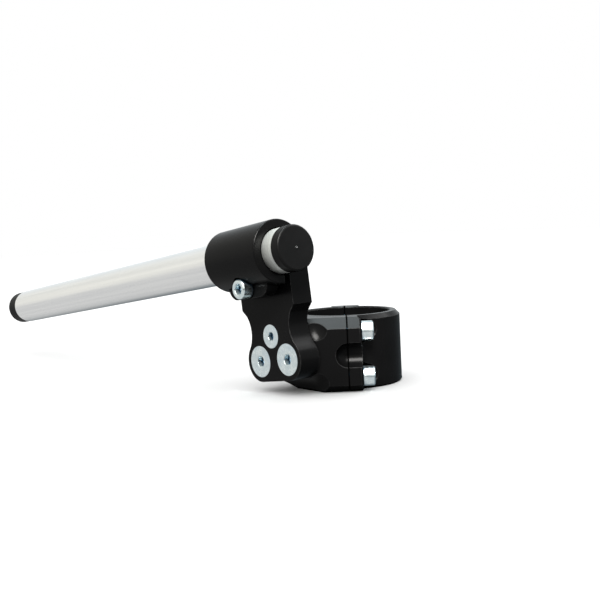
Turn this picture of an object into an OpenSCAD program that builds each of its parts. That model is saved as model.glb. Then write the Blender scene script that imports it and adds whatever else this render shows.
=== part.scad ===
// Clip-on handlebar, one hand of a pair: a split fork clamp, a riser bolted
// to its side pad, and a straight bar held in the riser's pinch boss.
// Millimetres. The origin is the centre of the fork bore at half its height.
// +Z runs up the fork leg, +X points inboard, and the bar runs outboard to -X.

/* [Fork clamp] */
// Diameter of the fork leg that the clamp grips
fork_d = 47; // [43:0.5:50]
// Height of the clamp along the fork
clamp_h = 37.5; // [34:0.5:42]
// Radial wall of the clamp ring
clamp_wall = 5.25; // [4.5:0.25:6]
// Gap between the two halves of the clamp
split_gap = 0.1; // [0.1:0.1:2]
// Angle of the clamp bolts about the fork axis
split_angle = 49; // [44:1:54]
// Distance of the clamp bolts from the fork axis
bolt_s = 31.5; // [31:0.25:33]
// Height of each clamp bolt above or below the middle of the clamp
bolt_z = 11.4; // [10.5:0.1:12]
// Outer flat of the bolt ears, from the fork axis
ear_s = 37.5; // [37:0.25:39]
// Reach of a bolt ear from the split plane
ear_b = 7.3; // [6.5:0.1:8]
// Chamfer on the top of the ears
ear_top = 5.3; // [4:0.1:6]
// Chamfer on the underside of the ears
ear_low = 3.6; // [3:0.1:5]
// Reach of the threaded ear of the cap, on the side away from the pad
ear_far = 9.8; // [8:0.1:11]
// Radius of the relief between the two bolts of a pair
notch_r = 6.2; // [5:0.1:6.6]
// Radius of the spot faces under the near bolt heads
spot_r = 7.2; // [5.75:0.05:7.4]

/* [Riser] */
// Distance from the fork axis to the pad face that the riser sits on
pad_y = 37.75; // [37:0.25:40]
// Thickness of the riser plate
plate_t = 12; // [10:0.5:13]
// Width of the riser plate at its top
plate_w = 43; // [41:0.5:45]
// Height of the bar axis above the middle of the clamp, in the riser
bar_w = 51.2; // [50:0.1:56]
// Outer radius of the bar boss
boss_r = 15.9; // [15.5:0.1:17]
// Droop of the bar and riser below square to the fork, degrees
droop = 7.3; // [4:0.1:9]

/* [Bar] */
// Outer diameter of the bar
bar_d = 22.2; // [22.2]
// Wall of the bar
bar_wall = 3.1; // [2.5:0.1:3.5]
// Outboard end of the bar, from the fork axis
bar_out = 281; // [220:1:290]
// Inboard end of the bar, from the fork axis
bar_in = 29; // [27:0.1:34]

/* [Hidden] */
$fn = 96;
black = [0.13, 0.13, 0.14];
silver = [0.80, 0.81, 0.83];
zinc = [0.86, 0.89, 0.92];
bore_r = fork_d / 2;
ring_r = bore_r + clamp_wall;
hh = clamp_h / 2;
bar_r = bar_d / 2;
seat_r = bar_r - 0.03;          // turned seat under the pinch boss
boss_bore = bar_r + 0.05;
bar_y = -pad_y - boss_r;        // bar axis: the boss is flush with the plate's back
slit0 = 0.6;                    // pinch slit, from the bar axis towards the plate
slit1 = boss_r - plate_t;
lip0 = -6.45;                   // bearing face of the pinch screw
pinch_w = bar_w - 15.5;
lobe_u = 11.05;
lobe_w = -1.7;
lobe_r = 10.5;
lip_half = 16.25;
waist_u = 29.8;
waist_w = 14;
waist_r = 14;
floor_y = -32;                  // milled floor around the pad
root_r = 8.5;                   // root of the pad on its milled floor
pad_in = 0.5;                   // the pad stands this far inside the riser's outline
thr = 0.05;                     // radial room around each screw thread
ez = hh - 0.04;                 // ears stand just inside the ring's faces
seat_b = ear_b - 0.15;          // spot face under a clamp bolt head

// ---- frames ----
// Riser frame: u along X, w along Z, turned by the droop about the fork centre
module tilt() rotate([0, -droop, 0]) children();
// Split frame: X is the way out to the near ears, Y is the bolt direction
module split() rotate([0, 0, split_angle - 90]) children();
// Stands a Z-axis shape on the riser frame's Y axis, pointing to the front
module facing(u, y, w) tilt() translate([u, y, w]) rotate([90, 0, 0]) children();

// ---- fasteners: the bearing face of the head is at z = 0, the shank runs to -z ----
module cap_screw(d, len, head_d, head_h, hex) {
    difference() {
        rotate_extrude() polygon([[0, 0], [head_d / 2 - 0.3, 0], [head_d / 2, 0.3],
            [head_d / 2, head_h - 0.6], [head_d / 2 - 0.6, head_h], [0, head_h]]);
        translate([0, 0, head_h - hex * 0.62]) cylinder(r = hex / sqrt(3), h = hex, $fn = 6);
        translate([0, 0, head_h - 0.4]) cylinder(r1 = hex / sqrt(3) - 0.2, r2 = hex / sqrt(3) + 0.25, h = 0.45);
    }
    difference() {
        rotate_extrude() polygon([[0, 0.5], [d / 2, 0.5], [d / 2, -len + 0.85],
            [d / 2 - 0.85, -len], [0, -len]]);
        translate([0, 0, -len - 0.1]) cylinder(r1 = 1.15, r2 = 0.2, h = 0.9);
    }
}
// Countersunk: the top of the head is at z = 0
module csk_screw(d, len, head_d, hex) {
    cone = (head_d - d) / 2;
    difference() {
        rotate_extrude() polygon([[0, 0], [head_d / 2, 0], [head_d / 2, -0.5],
            [d / 2, -0.5 - cone], [d / 2, -len + 0.9], [d / 2 - 0.9, -len], [0, -len]]);
        translate([0, 0, -hex * 0.62]) cylinder(r = hex / sqrt(3), h = hex, $fn = 6);
        translate([0, 0, -0.35]) cylinder(r1 = hex / sqrt(3) - 0.2, r2 = hex / sqrt(3) + 0.2, h = 0.4);
    }
}
// The room that a countersunk screw takes in the riser
module csk_room(d, len, head_d) {
    g = 0.04;
    cone = (head_d - d) / 2;
    rotate_extrude() polygon([[0, 1], [head_d / 2 + g, 1], [head_d / 2 + g, -0.5 - g],
        [d / 2 + g, -0.5 - g - cone], [d / 2 + g, -len], [0, -len]]);
}

// ---- bar ----
module bar_tube() color(silver) tilt() translate([0, bar_y, bar_w]) rotate([0, 90, 0])
    difference() {
        // full-size bar, a narrow groove at the boss, then the turned seat and stub
        rotate_extrude() polygon([[0, -bar_out], [bar_r - 0.4, -bar_out], [bar_r, -bar_out + 0.4],
            [bar_r, -22], [bar_r - 0.3, -22], [bar_r - 0.3, -20.9], [seat_r, -20.9],
            [seat_r, bar_in - 0.3], [seat_r - 0.3, bar_in], [0, bar_in]]);
        translate([0, 0, -bar_out - 1]) cylinder(r = bar_r - bar_wall, h = bar_out + bar_in + 2);
    }
module plug(flange, r_rim, dome, stem) {
    // flange outside the tube end, ribbed stem inside it
    rotate_extrude() difference() {
        union() {
            translate([0, 0]) square([r_rim - dome, flange]);
            square([r_rim, flange - dome]);
            translate([r_rim - dome, flange - dome]) circle(dome);
        }
        translate([-20, -20]) square([20, 60]);
        translate([0, -20]) square([30, 20]);
    }
    translate([0, 0, flange - 0.1]) cylinder(r1 = 0.9, r2 = 0.4, h = 0.6);
    translate([0, 0, -stem]) difference() {
        union() {
            cylinder(r = bar_r - bar_wall - 0.6, h = stem + 0.5);
            for (z = [2 : 4 : stem - 2]) translate([0, 0, z]) cylinder(r = bar_r - bar_wall - 0.05, h = 1.2);
        }
        translate([0, 0, -1]) cylinder(r = bar_r - bar_wall - 2.6, h = stem - 1);
    }
}
module inner_plug() color(black) tilt() translate([bar_in, bar_y, bar_w]) rotate([0, 90, 0])
    plug(5.2, 11.3, 1.2, 16);
module outer_plug() color(black) tilt() translate([-bar_out, bar_y, bar_w]) rotate([0, -90, 0])
    plug(12.6, 10.93, 1.6, 18);

// ---- riser ----
module foot_outline(d = 0) {
    tu = lobe_u + (lobe_r - d) * 0.7667;    // where a lobe runs into the waist
    tw = lobe_w + (lobe_r - d) * 0.642;
    for (s = [-1, 1]) translate([s * lobe_u, lobe_w]) circle(lobe_r - d);
    polygon([[-lobe_u, lobe_w - lobe_r + d], [lobe_u, lobe_w - lobe_r + d], [tu, tw], [-tu, tw]]);
    difference() {
        translate([-tu, tw - 1.04]) square([2 * tu, 21.82 - tw + 1.04]);
        for (s = [-1, 1]) translate([s * waist_u, waist_w]) circle(waist_r + d);
    }
}
module plate_outline() {
    foot_outline();
    polygon([[-18.17, 21.8], [18.17, 21.8], [plate_w / 2, 25.1], [plate_w / 2, bar_w],
             [-plate_w / 2, bar_w], [-plate_w / 2, 25.1]]);
}
module lip_outline() {
    r = 7;
    low = bar_w - 20.6;
    for (s = [-1, 1]) translate([s * (lip_half - r), low + r]) circle(r);
    translate([-lip_half + r, low]) square([2 * (lip_half - r), r + 1]);
    translate([-lip_half, low + r]) square([2 * lip_half, 8]);
}
module riser() color(black) difference() {
    union() {
        facing(0, -pad_y, 0) linear_extrude(plate_t) plate_outline();
        tilt() translate([-plate_w / 2, bar_y, bar_w]) rotate([0, 90, 0])
            rotate_extrude() polygon([[0, 0], [boss_r - 0.5, 0], [boss_r, 0.5],
                [boss_r, plate_w - 0.5], [boss_r - 0.5, plate_w], [0, plate_w]]);
        facing(0, bar_y + slit0, 0) linear_extrude(slit0 - lip0) lip_outline();
    }
    // bar bore and the slit that lets it pinch
    tilt() translate([-60, bar_y, bar_w]) rotate([0, 90, 0]) cylinder(r = boss_bore, h = 120);
    tilt() translate([-60, bar_y + slit0, bar_w - 24]) cube([120, slit1 - slit0, 22]);
    // pinch screw: head pocket, clearance hole, threaded hole, drill exit
    facing(0, bar_y + lip0, pinch_w) cylinder(r = 5.75, h = 14);
    facing(0, bar_y + 2, pinch_w) cylinder(r = 3.3, h = 12);
    facing(0, -pad_y - 2.4, pinch_w) cylinder(r = 3 + thr, h = 12);
    facing(0, -pad_y + 1, pinch_w) cylinder(r = 2.5, h = 6);
    // countersunk seats
    for (s = [-1, 1]) facing(s * lobe_u, -pad_y - plate_t, lobe_w) mirror([0, 0, 0]) csk_room(8, 14, 16);
    facing(0, -pad_y - plate_t, 10.55) csk_room(6, 14, 12);
}

// ---- fork clamp ----
// Everything on one side of the split: side is -1 for the body, 1 for the cap
module half_space(side) split() translate([-70, side > 0 ? split_gap / 2 : -100 - split_gap / 2, -40])
    cube([140, 100, 80]);
module ring() rotate_extrude() polygon([[bore_r - 3, -hh], [ring_r - 0.9, -hh], [ring_r, -hh + 0.9],
    [ring_r, hh - 2.2], [ring_r - 2.2, hh], [bore_r - 3, hh]]);
module fork_bore() {
    translate([0, 0, -hh - 1]) cylinder(r = bore_r, h = clamp_h + 2);
    for (m = [0, 1]) mirror([0, 0, m]) translate([0, 0, hh - 0.6]) cylinder(r1 = bore_r, r2 = bore_r + 0.8, h = 0.8);
}
// Section of an ear, seen along the bolts; inner edge at s0
module ear_section(s0) polygon([[s0, -ez], [ear_s - ear_low, -ez], [ear_s, -ez + ear_low],
    [ear_s, ez - ear_top], [ear_s - ear_top, ez], [s0, ez]]);
// One ear from b0 to b1 along the bolts, on side sx of the fork; its outer rim at b1 is bevelled by c
module ear(sx, b0, b1, c = 0) split() mirror([sx < 0 ? 1 : 0, 0, 0]) difference() {
    translate([0, b1, 0]) rotate([90, 0, 0]) linear_extrude(b1 - b0) ear_section(25.5);
    if (c > 0) for (k = [[0, ear_s, c], [45, (ear_s + ez - ear_top) * 0.70711, c],
            [-45, (ear_s + ez - ear_low) * 0.70711, c], [90, ez, 2], [-90, ez, 0.9]])
        rotate([0, -k[0], 0]) translate([k[1], b1, 0]) rotate([0, 0, 45])
            translate([-k[2] * 0.70711, -40, -40]) cube([20, 80, 80]);
}
// Concave blend of an ear that ends at b1 into the ring
module ear_blend(sx, b1, rf) {
    sc = sqrt(pow(ring_r + rf, 2) - pow(b1 + rf, 2));
    k = (ring_r - 0.4) / (ring_r + rf);
    split() mirror([sx < 0 ? 1 : 0, 0, 0]) translate([0, 0, -ez + 1.1]) linear_extrude(2 * ez - 3.4) difference() {
        polygon([[24.5, b1 - 2], [sc, b1 - 2], [sc, b1 + rf * 0.5], [sc * k, (b1 + rf) * k]]);
        translate([sc - 0.05, b1 + rf - 0.02]) circle(rf);
    }
}
// Half-round relief between the bolts; it ends in a ball in the body half
module near_notch() split() {
    translate([ear_s, 0, 0]) sphere(notch_r);
    translate([ear_s, 0, 0]) rotate([-90, 0, 0]) cylinder(r = notch_r, h = 30);
}
module far_notch() split() translate([-ear_s, -30, 0]) rotate([-90, 0, 0]) cylinder(r = notch_r, h = 60);

// Near ear and the block that carries it back to the pad's milled floor
module neck() difference() {
    translate([0, 0, -hh - 1]) linear_extrude(clamp_h + 2)
        polygon([[-13, floor_y], [-18, -22], [0, -12], [18, -9], [42, -9], [42, floor_y]]);
    // the floor's lower left corner slopes off
    translate([-3.2, 0, -hh]) rotate([0, 21.3, 0]) translate([-40, -60, -20]) cube([40, 100, 20]);
}
// Section of the pad's root: x is the distance out of the outline, y the height above the floor
module root_section(x0) difference() {
    translate([x0 - 3, 0]) square([root_r + 2, pad_y + floor_y + 0.05]);
    translate([x0 + root_r - 0.3, root_r + 0.1]) circle(root_r);
}
module pad_root() difference() {
    union() {
        facing(lobe_u, floor_y + 0.1, lobe_w) rotate_extrude() root_section(lobe_r - pad_in);
        facing(waist_u, floor_y + 0.1, waist_w) rotate_extrude() difference() {
            translate([waist_r + pad_in - root_r + 1, 0]) square([root_r + 1.5, pad_y + floor_y + 0.05]);
            translate([waist_r + pad_in - root_r + 0.3, root_r + 0.1]) circle(root_r);
        }
        facing(0, floor_y + 0.1, lobe_w) translate([-14, 0, 0]) mirror([0, 1, 0])
            rotate([90, 0, 90]) linear_extrude(14 + lobe_u) root_section(lobe_r - pad_in);
    }
    translate([-3.2, 0, -hh]) rotate([0, 21.3, 0]) translate([-40, -60, -20]) cube([40, 100, 20]);
    translate([-90, -60, -60]) cube([76.5, 100, 120]);
}
module clamp_body() color(black) difference() {
    intersection() {
        union() {
            ring();
            ear(-1, -ear_b, 2);
            // the pad and its root stay inside the ears' section
            intersection() {
                union() {
                    neck();
                    facing(0, -18, 0) linear_extrude(pad_y - 18) foot_outline(pad_in);
                    pad_root();
                }
                split() translate([0, 2, 0]) rotate([90, 0, 0]) linear_extrude(52) ear_section(-24);
            }
        }
        half_space(-1);
    }
    translate([0, -pad_y, hh - 0.1]) rotate([45, 0, 0]) cube([60, 1.8, 1.8], center = true);
    fork_bore();
    near_notch();
    far_notch();
    for (z = [-1, 1]) split() {
        // near pair: threaded blind holes
        translate([bolt_s, 1, z * bolt_z]) rotate([90, 0, 0]) cylinder(r = 3 + thr, h = 11.4);
        // far pair: clearance holes and head seats
        translate([-bolt_s, 1, z * bolt_z]) rotate([90, 0, 0]) cylinder(r = 3.3, h = 20);
        translate([-bolt_s, -seat_b, z * bolt_z]) rotate([90, 0, 0]) cylinder(r = 5.75, h = 20);
    }
    // threaded holes for the riser screws
    for (s = [-1, 1]) facing(s * lobe_u, -18, lobe_w) cylinder(r = 4 + thr, h = 30);
    facing(0, -18, 10.55) cylinder(r = 3 + thr, h = 30);
}
module clamp_cap() color(black) difference() {
    intersection() {
        union() {
            ring();
            ear(1, -2, ear_b, 1.1);
            ear(-1, -2, ear_far, 1.1);
            ear_blend(1, ear_b, 4);
            ear_blend(-1, ear_far, 4);
        }
        half_space(1);
    }
    fork_bore();
    near_notch();
    far_notch();
    for (z = [-1, 1]) split() {
        translate([bolt_s, 20, z * bolt_z]) rotate([90, 0, 0]) cylinder(r = 3.3, h = 24);
        translate([bolt_s, 30, z * bolt_z]) rotate([90, 0, 0]) cylinder(r = spot_r, h = 30 - seat_b);
        translate([-bolt_s, 20, z * bolt_z]) rotate([90, 0, 0]) cylinder(r = 3 + thr, h = 24);
        translate([-bolt_s, ear_far - 0.8, z * bolt_z]) rotate([-90, 0, 0]) cylinder(r1 = 3, r2 = 4, h = 1);
    }
}

// ---- placed fasteners ----
module near_bolt(z) color(zinc) split() translate([bolt_s, seat_b, z]) rotate([-90, 0, 0])
    cap_screw(6, 16, 10, 6, 5);
module far_bolt(z) color(zinc) split() translate([-bolt_s, -seat_b, z]) rotate([90, 0, 0])
    cap_screw(6, 16, 10, 6, 5);
module clamp_bolt_near_upper() near_bolt(bolt_z);
module clamp_bolt_near_lower() near_bolt(-bolt_z);
module clamp_bolt_far_upper() far_bolt(bolt_z);
module clamp_bolt_far_lower() far_bolt(-bolt_z);
module pinch_screw() color(zinc) facing(0, bar_y + lip0, pinch_w) cap_screw(6, 19.5, 10, 6, 5);
module riser_screw_upper() color(zinc) facing(0, -pad_y - plate_t, 10.55) csk_screw(6, 20, 12, 4);
module riser_screw_left() color(zinc) facing(-lobe_u, -pad_y - plate_t, lobe_w) csk_screw(8, 25, 16, 5);
module riser_screw_right() color(zinc) facing(lobe_u, -pad_y - plate_t, lobe_w) csk_screw(8, 25, 16, 5);

bar_tube();
inner_plug();
outer_plug();
riser();
pinch_screw();
riser_screw_upper();
riser_screw_left();
riser_screw_right();
clamp_body();
clamp_cap();
clamp_bolt_near_upper();
clamp_bolt_near_lower();
clamp_bolt_far_upper();
clamp_bolt_far_lower();
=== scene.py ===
import math
import bpy
import bmesh
from mathutils import Vector, Matrix

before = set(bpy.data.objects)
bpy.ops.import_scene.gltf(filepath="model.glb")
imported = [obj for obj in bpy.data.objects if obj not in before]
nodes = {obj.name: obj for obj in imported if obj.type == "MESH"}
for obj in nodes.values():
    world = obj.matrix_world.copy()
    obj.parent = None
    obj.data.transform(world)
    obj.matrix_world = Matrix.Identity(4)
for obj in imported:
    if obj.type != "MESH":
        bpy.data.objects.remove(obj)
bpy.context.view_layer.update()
scene = bpy.context.scene
MM = 0.001

# ------------------------------------------------------------------ frames
DROOP = math.radians(7.3)
U = Vector((math.cos(DROOP), 0, math.sin(DROOP)))
W = Vector((-math.sin(DROOP), 0, math.cos(DROOP)))
Y = Vector((0, 1, 0))
PAD_Y, BOSS_R, BAR_W, PLATE_T = 37.75, 15.9, 51.2, 12.0
BAR_Y = -PAD_Y - BOSS_R
BOSS_END = 21.5
A = math.radians(49)
B_AX = Vector((math.cos(A), math.sin(A), 0))
S_AX = Vector((math.sin(A), -math.cos(A), 0))


def on_riser(u, y, w):
    return (U * u + Y * y + W * w) * MM


def at_split(s, b, z):
    return (S_AX * s + B_AX * b + Vector((0, 0, z))) * MM


def basis(origin, x, z):
    """Matrix with local Z along z and local X near x, at origin."""
    z = z.normalized()
    x = (x - z * x.dot(z)).normalized()
    y = z.cross(x)
    m = Matrix((x, y, z)).transposed().to_4x4()
    m.translation = origin
    return m


# ------------------------------------------------------------------ materials
class Mat:
    """A small helper that wires a Principled material from texture nodes."""

    def __init__(self, name, scale=1.0):
        self.m = bpy.data.materials.new(name)
        self.m.use_nodes = True
        self.t = self.m.node_tree
        self.n = self.t.nodes
        self.l = self.t.links
        self.n.clear()
        self.out = self.n.new("ShaderNodeOutputMaterial")
        self.p = self.n.new("ShaderNodeBsdfPrincipled")
        self.l.new(self.p.outputs[0], self.out.inputs[0])
        self.co = self.n.new("ShaderNodeTexCoord")

    def obj(self):
        return self.co.outputs["Object"]

    def mapping(self, rot=(0, 0, 0), scale=(1, 1, 1), src=None):
        m = self.n.new("ShaderNodeMapping")
        m.inputs["Rotation"].default_value = rot
        m.inputs["Scale"].default_value = scale
        self.l.new(src or self.obj(), m.inputs["Vector"])
        return m.outputs[0]

    def noise(self, vec, scale, detail=3.0, rough=0.5, distortion=0.0):
        n = self.n.new("ShaderNodeTexNoise")
        n.inputs["Scale"].default_value = scale
        n.inputs["Detail"].default_value = detail
        n.inputs["Roughness"].default_value = rough
        n.inputs["Distortion"].default_value = distortion
        self.l.new(vec, n.inputs["Vector"])
        return n.outputs["Fac"]

    def ramp(self, fac, stops):
        r = self.n.new("ShaderNodeValToRGB")
        e = r.color_ramp.elements
        e[0].position, e[0].color = stops[0][0], stops[0][1]
        e[1].position, e[1].color = stops[-1][0], stops[-1][1]
        for pos, col in stops[1:-1]:
            x = e.new(pos)
            x.color = col
        self.l.new(fac, r.inputs[0])
        return r.outputs[0]

    def maprange(self, fac, a, b, c, d):
        m = self.n.new("ShaderNodeMapRange")
        m.inputs["From Min"].default_value = a
        m.inputs["From Max"].default_value = b
        m.inputs["To Min"].default_value = c
        m.inputs["To Max"].default_value = d
        self.l.new(fac, m.inputs["Value"])
        return m.outputs[0]

    def math(self, op, a, b=None, c=None):
        m = self.n.new("ShaderNodeMath")
        m.operation = op
        for i, v in enumerate((a, b, c)):
            if v is None:
                continue
            if isinstance(v, (int, float)):
                m.inputs[i].default_value = v
            else:
                self.l.new(v, m.inputs[i])
        return m.outputs[0]

    def mix(self, fac, a, b):
        m = self.n.new("ShaderNodeMix")
        m.data_type = "RGBA"
        if isinstance(fac, (int, float)):
            m.inputs[0].default_value = fac
        else:
            self.l.new(fac, m.inputs[0])
        for i, v in ((6, a), (7, b)):
            if isinstance(v, tuple):
                m.inputs[i].default_value = v
            else:
                self.l.new(v, m.inputs[i])
        return m.outputs[2]

    def bump(self, height, strength, distance, normal=None):
        b = self.n.new("ShaderNodeBump")
        b.inputs["Strength"].default_value = strength
        b.inputs["Distance"].default_value = distance
        self.l.new(height, b.inputs["Height"])
        if normal is not None:
            self.l.new(normal, b.inputs["Normal"])
        return b.outputs[0]

    def edge(self, radius, lo, hi):
        """1 on sharp edges and 0 on flats, from the rounded normal of the Bevel node."""
        b = self.n.new("ShaderNodeBevel")
        b.samples = 6
        b.inputs["Radius"].default_value = radius
        g = self.n.new("ShaderNodeNewGeometry")
        d = self.n.new("ShaderNodeVectorMath")
        d.operation = "DOT_PRODUCT"
        self.l.new(b.outputs[0], d.inputs[0])
        self.l.new(g.outputs["Normal"], d.inputs[1])
        return self.maprange(self.math("SUBTRACT", 1.0, d.outputs["Value"]), lo, hi, 0.0, 1.0), b.outputs[0]

    def recess(self, distance, lo, hi, local=True):
        """Ambient occlusion mask for painted shade: 0 in sockets and corners, 1 on open faces."""
        a = self.n.new("ShaderNodeAmbientOcclusion")
        a.samples = 8
        a.only_local = local
        a.inputs["Distance"].default_value = distance
        return self.maprange(a.outputs["AO"], lo, hi, 0.0, 1.0)

    def set(self, **kw):
        names = {
            "color": "Base Color", "metallic": "Metallic", "rough": "Roughness", "ior": "IOR",
            "spec": "Specular IOR Level", "normal": "Normal", "aniso": "Anisotropic",
            "aniso_rot": "Anisotropic Rotation", "coat": "Coat Weight", "coat_rough": "Coat Roughness",
        }
        for k, v in kw.items():
            s = self.p.inputs[names[k]]
            if isinstance(v, bpy.types.NodeSocket):
                self.l.new(v, s)
            else:
                s.default_value = v
        return self


def grey(v, tint=(1.0, 1.0, 1.0)):
    return (v * tint[0], v * tint[1], v * tint[2], 1.0)


def anodised(name, axis_rot=(0, 0, 0), base=0.0016, spec=0.052, joint=False):
    """Satin black anodised aluminium: fine blasted grain, faint milling lines, pale edge wear that is partly a
    painted highlight, and painted shade in joints, gaps, hollows and near the floor.
    """
    m = Mat(name)
    o = m.obj()
    fine = m.noise(o, 2600, 3, 0.6)
    mid = m.noise(o, 420, 3, 0.55)
    cloud = m.noise(o, 38, 3, 0.5)
    lines = m.noise(m.mapping(rot=axis_rot, scale=(90, 90, 2600)), 1.0, 2, 0.5)
    edge, soft = m.edge(0.0003, 0.01, 0.12)
    col = m.ramp(cloud, [(0.3, grey(base * 0.85, (1.0, 1.0, 1.04))), (0.7, grey(base * 1.2, (1.0, 1.0, 1.03)))])
    # painted shade darkens narrow joints and gaps; open edges show a little wear that is partly a painted highlight
    free = m.recess(0.0011, 0.78, 0.97, False)
    if joint:
        # painted shade along the edges of the joint between the two clamp halves
        across = m.n.new("ShaderNodeVectorMath")
        across.operation = "DOT_PRODUCT"
        across.inputs[1].default_value = B_AX
        m.l.new(o, across.inputs[0])
        joint_unshaded = m.maprange(m.math("ABSOLUTE", across.outputs["Value"]), 0.36 * MM, 0.46 * MM, 0.0, 1.0)
        free = m.math("MULTIPLY", free, joint_unshaded)
    # painted shade in wide hollows and low down near the floor, on colour and reflection
    free = m.math("MULTIPLY", free, m.recess(0.014, 0.12, 0.62, False))
    # pale edge wear along the edges, partly a painted highlight
    worn_and_highlight = m.math("MULTIPLY", m.math("MULTIPLY", edge, free), m.maprange(mid, 0.40, 0.6, 0.25, 1.0))
    col = m.mix(worn_and_highlight, col, grey(0.045))
    # painted shade: the colour goes near-black where the shade mask is 0
    col = m.mix(free, grey(0.0006), col)
    rough = m.math("ADD", m.maprange(fine, 0.3, 0.7, 0.22, 0.28), m.maprange(cloud, 0.3, 0.7, -0.02, 0.02))
    n1 = m.bump(lines, 0.05, 0.00004, soft)
    n2 = m.bump(fine, 0.05, 0.00003, n1)
    m.set(color=col, metallic=0.0, rough=rough, normal=n2, spec=m.math("MULTIPLY", free, spec), ior=1.5)
    return m.m


def drawn_bar(name):
    """Clear anodised drawn tube with long die lines; matte turned rings on the stub past the boss."""
    m = Mat(name)
    o = m.obj()
    v = m.mapping(rot=(0, DROOP, 0))
    sep = m.n.new("ShaderNodeSeparateXYZ")
    m.l.new(v, sep.inputs[0])
    stub = m.maprange(sep.outputs["X"], (BOSS_END - 1.0) * MM, (BOSS_END - 0.5) * MM, 0.0, 1.0)
    # the drawn length
    fine_lines = m.noise(m.mapping(scale=(5, 2600, 2600), src=v), 1.0, 3, 0.6)
    wide_lines = m.noise(m.mapping(scale=(2.0, 420, 420), src=v), 1.0, 2, 0.5)
    grain = m.noise(o, 3200, 2, 0.6)
    cloud = m.noise(m.mapping(scale=(22, 60, 60), src=v), 1.0, 3, 0.5)
    drawn = m.ramp(wide_lines, [(0.25, (0.77, 0.775, 0.78, 1)), (0.5, (0.83, 0.83, 0.83, 1)), (0.75, (0.89, 0.89, 0.885, 1))])
    drawn = m.mix(m.maprange(fine_lines, 0.45, 0.75, 0.0, 0.30), drawn, (0.66, 0.68, 0.70, 1))
    rough_drawn = m.math("ADD", m.maprange(cloud, 0.3, 0.7, 0.24, 0.30), m.maprange(grain, 0.3, 0.7, -0.03, 0.03))
    # the turned stub
    rings = m.noise(m.mapping(scale=(2600, 12, 12), src=v), 1.0, 2, 0.6)
    turned = m.ramp(rings, [(0.3, (0.50, 0.515, 0.50, 1)), (0.7, (0.63, 0.645, 0.625, 1))])
    speck = m.noise(o, 1900, 3, 0.7)
    turned = m.mix(m.maprange(speck, 0.50, 0.66, 0.0, 0.45), turned, (0.36, 0.37, 0.355, 1))
    col = m.mix(stub, drawn, turned)
    rough = m.math("ADD", rough_drawn, m.math("MULTIPLY", stub, 0.25))
    n1 = m.bump(fine_lines, 0.10, 0.00004)
    n2 = m.bump(m.math("MULTIPLY", rings, stub), 0.25, 0.00004, n1)
    n3 = m.bump(grain, 0.06, 0.00002, n2)
    m.set(color=col, metallic=1.0, rough=rough, normal=n3)
    return m.m


def zinc(name):
    """Bright zinc plating: bluish white, a little cloudy, with a light turned texture and painted shade in the
    sockets.
    """
    m = Mat(name)
    o = m.obj()
    grain = m.noise(o, 2600, 3, 0.6)
    cloud = m.noise(o, 320, 3, 0.6)
    tint = m.noise(o, 120, 2, 0.5)
    col = m.ramp(cloud, [(0.3, (0.63, 0.72, 0.745, 1)), (0.7, (0.80, 0.865, 0.87, 1))])
    col = m.mix(m.maprange(tint, 0.5, 0.75, 0.0, 0.40), col, (0.56, 0.69, 0.80, 1))
    # painted shade: sockets and the roots of the heads are painted darker and bluer
    unshaded_face = m.recess(0.0024, 0.52, 0.93, False)
    col = m.mix(unshaded_face, (0.05, 0.10, 0.15, 1), col)
    rough = m.math("ADD", m.maprange(cloud, 0.3, 0.7, 0.20, 0.30), m.maprange(unshaded_face, 0.0, 1.0, 0.25, 0.0))
    n1 = m.bump(grain, 0.10, 0.00003)
    m.set(color=col, metallic=1.0, rough=rough, normal=n1)
    return m.m


def plug_plastic(name, spec=0.12):
    """Moulded near-black plastic: spark-eroded grain, faint turned rings about the bar's axis and a painted
    highlight on the injection point.
    """
    m = Mat(name)
    o = m.obj()
    grain = m.noise(o, 1500, 4, 0.65)
    cloud = m.noise(o, 90, 3, 0.5)
    # distance from the bar's axis, for the rings on the end face
    v = m.mapping(rot=(0, DROOP, 0))
    sep = m.n.new("ShaderNodeSeparateXYZ")
    m.l.new(v, sep.inputs[0])
    dy = m.math("SUBTRACT", sep.outputs["Y"], BAR_Y * MM)
    dw = m.math("SUBTRACT", sep.outputs["Z"], BAR_W * MM)
    rad = m.math("SQRT", m.math("ADD", m.math("MULTIPLY", dy, dy), m.math("MULTIPLY", dw, dw)))
    rings = m.math("SINE", m.math("MULTIPLY", rad, 2 * math.pi / 0.0009))
    col = m.ramp(cloud, [(0.3, grey(0.0018)), (0.7, grey(0.0028, (1.0, 1.0, 1.02)))])
    rough = m.maprange(grain, 0.3, 0.7, 0.30, 0.42)
    # the rim is rubbed smoother than the faces
    edge, soft = m.edge(0.0004, 0.01, 0.12)
    rough = m.math("SUBTRACT", rough, m.math("MULTIPLY", edge, 0.12))
    n1 = m.bump(rings, 0.15, 0.00003, soft)
    n2 = m.bump(grain, 0.20, 0.00005, n1)
    # painted highlight on the injection point in the middle
    gate_highlight = m.maprange(rad, 0.00022, 0.00042, 1.0, 0.0)
    col = m.mix(gate_highlight, col, grey(0.09))
    m.set(color=col, metallic=0.0, rough=rough, normal=n2, spec=m.math("ADD", spec, m.math("MULTIPLY", edge, 0.45)))
    return m.m


MAT_BLACK = anodised("black_anodised", (0, 0, 0))
MAT_BLACK_CLAMP = anodised("black_anodised_clamp", (0, 0, 0), 0.0020, 0.050, True)
MAT_BAR = drawn_bar("drawn_bar")
MAT_ZINC = zinc("zinc_plate")
MAT_PLUG = plug_plastic("plug_plastic", 0.075)
MAT_PLUG_OUTER = plug_plastic("plug_plastic_outer", 0.03)


def give(node, mat):
    o = nodes[node]
    o.data.materials.clear()
    o.data.materials.append(mat)
    return o


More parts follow.
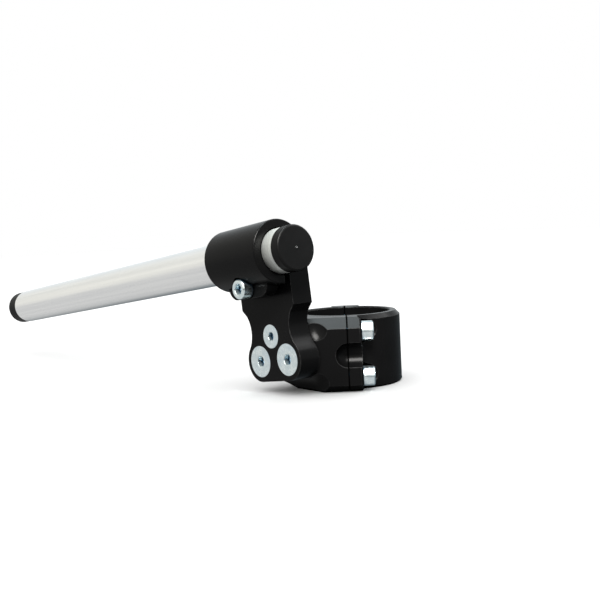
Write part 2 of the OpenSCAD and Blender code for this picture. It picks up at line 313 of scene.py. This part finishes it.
def smooth_cad(o, angle=30, bevel=0.0, segments=2):
    """Shading and a small edge break on a CAD node, as modifiers only."""
    w = o.modifiers.new("weld", "WELD")
    w.merge_threshold = 1e-7
    if bevel > 0:
        b = o.modifiers.new("bevel", "BEVEL")
        b.width = bevel
        b.segments = segments
        b.limit_method = "ANGLE"
        b.angle_limit = math.radians(28)
        b.harden_normals = False
        b.use_clamp_overlap = True
    e = o.modifiers.new("split", "EDGE_SPLIT")
    e.split_angle = math.radians(angle)
    n = o.modifiers.new("normals", "WEIGHTED_NORMAL")
    n.weight = 80
    return o


for n in ("riser", "clamp_body", "clamp_cap"):
    if n == "riser":
        smooth_cad(give(n, MAT_BLACK), bevel=0.0004, segments=1)
    else:
        smooth_cad(give(n, MAT_BLACK_CLAMP), bevel=0.00022)
smooth_cad(give("bar_tube", MAT_BAR))
smooth_cad(give("inner_plug", MAT_PLUG))
smooth_cad(give("outer_plug", MAT_PLUG_OUTER))
for n in nodes:
    if "screw" in n or "bolt" in n:
        smooth_cad(give(n, MAT_ZINC), bevel=0.00012)

# ------------------------------------------------------------------ floor, light, camera
FLOOR_Z = -18.75 * MM


def floor_material():
    m = Mat("pale_floor")
    n = m.noise(m.obj(), 9, 3, 0.5)
    col = m.ramp(n, [(0.3, (0.80, 0.80, 0.80, 1)), (0.7, (0.83, 0.83, 0.83, 1))])
    m.set(color=col, rough=0.9, spec=0.0)
    return m.m


def make_floor():
    bm = bmesh.new()
    s = 3.0
    vs = [bm.verts.new(c) for c in ((-s, -s, FLOOR_Z), (s, -s, FLOOR_Z), (s, s, FLOOR_Z), (-s, s, FLOOR_Z))]
    bm.faces.new(vs)
    me = bpy.data.meshes.new("floor")
    bm.to_mesh(me)
    bm.free()
    o = bpy.data.objects.new("floor", me)
    scene.collection.objects.link(o)
    me.materials.append(floor_material())
    o.visible_glossy = False
    return o


floor = make_floor()
# the lamps light the part only; the tent alone lights the floor, so no hard shadow falls on it
unlit = bpy.data.collections.new("floor_unlit")
unlit.objects.link(floor)

# a white tent: warm above, bluish below, darker low behind the part and in a small patch at the front
world = bpy.data.worlds.new("studio")
scene.world = world
world.use_nodes = True
wt = world.node_tree
bg = wt.nodes["Background"]
wco = wt.nodes.new("ShaderNodeTexCoord")


def wmath(op, a, b=None):
    n = wt.nodes.new("ShaderNodeMath")
    n.operation = op
    for i, v in enumerate((a, b)):
        if v is None:
            continue
        if isinstance(v, (int, float)):
            n.inputs[i].default_value = v
        else:
            wt.links.new(v, n.inputs[i])
    return n.outputs[0]


def wrange(v, a, b, c=0.0, d=1.0):
    n = wt.nodes.new("ShaderNodeMapRange")
    for k, x in (("From Min", a), ("From Max", b), ("To Min", c), ("To Max", d)):
        n.inputs[k].default_value = x
    wt.links.new(v, n.inputs["Value"])
    return n.outputs[0]


def wmix(fac, a, b):
    n = wt.nodes.new("ShaderNodeMix")
    n.data_type = "RGBA"
    wt.links.new(fac, n.inputs[0])
    for i, v in ((6, a), (7, b)):
        if isinstance(v, tuple):
            n.inputs[i].default_value = v
        else:
            wt.links.new(v, n.inputs[i])
    return n.outputs[2]


wsep = wt.nodes.new("ShaderNodeSeparateXYZ")
wt.links.new(wco.outputs["Generated"], wsep.inputs[0])
wx, wy, wz = wsep.outputs
HIGH_FRONT, HIGH_BACK = (0.92, 0.915, 0.86, 1), (0.86, 0.91, 0.93, 1)
LOW_FRONT, LOW_BACK, DARK = (0.71, 0.715, 0.71, 1), (0.17, 0.20, 0.22, 1), (0.04, 0.04, 0.045, 1)
high = wmix(wrange(wy, -0.15, 0.30), HIGH_FRONT, HIGH_BACK)
low = wmix(wrange(wy, 0.05, 0.45), LOW_FRONT, LOW_BACK)
tent = wmix(wrange(wz, -0.10, 0.04), low, high)
toward = wmath("ADD", wmath("MULTIPLY", wx, 0.776), wmath("MULTIPLY", wy, -0.631))
front = wmath("MULTIPLY", wrange(toward, 0.74, 0.86), wrange(wmath("ABSOLUTE", wz), 0.14, 0.08))
tent = wmix(front, tent, DARK)
path = wt.nodes.new("ShaderNodeLightPath")
tent = wmix(path.outputs["Is Diffuse Ray"], tent, (1.8, 1.8, 1.8, 1))
seen = wmix(path.outputs["Is Camera Ray"], tent, (1.0, 1.0, 1.0, 1))
wt.links.new(seen, bg.inputs[0])
bg.inputs[1].default_value = 1.0


def area(name, loc, target, size, power, size_y=None, colour=(1, 1, 1)):
    d = bpy.data.lights.new(name, "AREA")
    d.energy = power
    d.color = colour
    d.shape = "RECTANGLE"
    d.size = size
    d.size_y = size_y or size
    o = bpy.data.objects.new(name, d)
    scene.collection.objects.link(o)
    o.matrix_world = basis(Vector(loc), Vector((1, 0, 0)), Vector(loc) - Vector(target))
    o.light_linking.receiver_collection = unlit
    return o


area("key_top", (0.03, -0.06, 0.95), (0.0, -0.03, 0.0), 0.30, 9.5, 0.30, (0.86, 0.97, 1.0))
area("key_front", (0.49, -0.43, 0.74), (0.0, -0.03, 0.02), 0.40, 38.0, 0.40, (1.0, 0.98, 0.95))
area("rear_top", (0.24, 0.56, 0.72), (0.0, -0.03, 0.0), 0.55, 4.5, 0.55)

unlit.collection_objects[0].light_linking.link_state = "EXCLUDE"

cam_data = bpy.data.cameras.new("camera")
cam_data.sensor_width = 36.0
cam_data.sensor_fit = "AUTO"
cam_data.lens = 945.8 / 600 * 36.0
cam_data.clip_start = 0.01
cam_data.clip_end = 20
cam = bpy.data.objects.new("camera", cam_data)
scene.collection.objects.link(cam)
az, el, roll, dist = math.radians(50.88), math.radians(4.745), math.radians(-2.725), 0.48278
target = Vector((0.001301, -0.031736, 0.027357))
back = Vector((math.sin(az) * math.cos(el), -math.cos(az) * math.cos(el), math.sin(el)))
fwd = -back
right = fwd.cross(Vector((0, 0, 1))).normalized()
up = right.cross(fwd)
r2 = right * math.cos(roll) + up * math.sin(roll)
u2 = -right * math.sin(roll) + up * math.cos(roll)
m = Matrix((r2, u2, back)).transposed().to_4x4()
m.translation = target + back * dist
cam.matrix_world = m
scene.camera = cam

scene.view_settings.view_transform = "Standard"
scene.view_settings.look = "None"
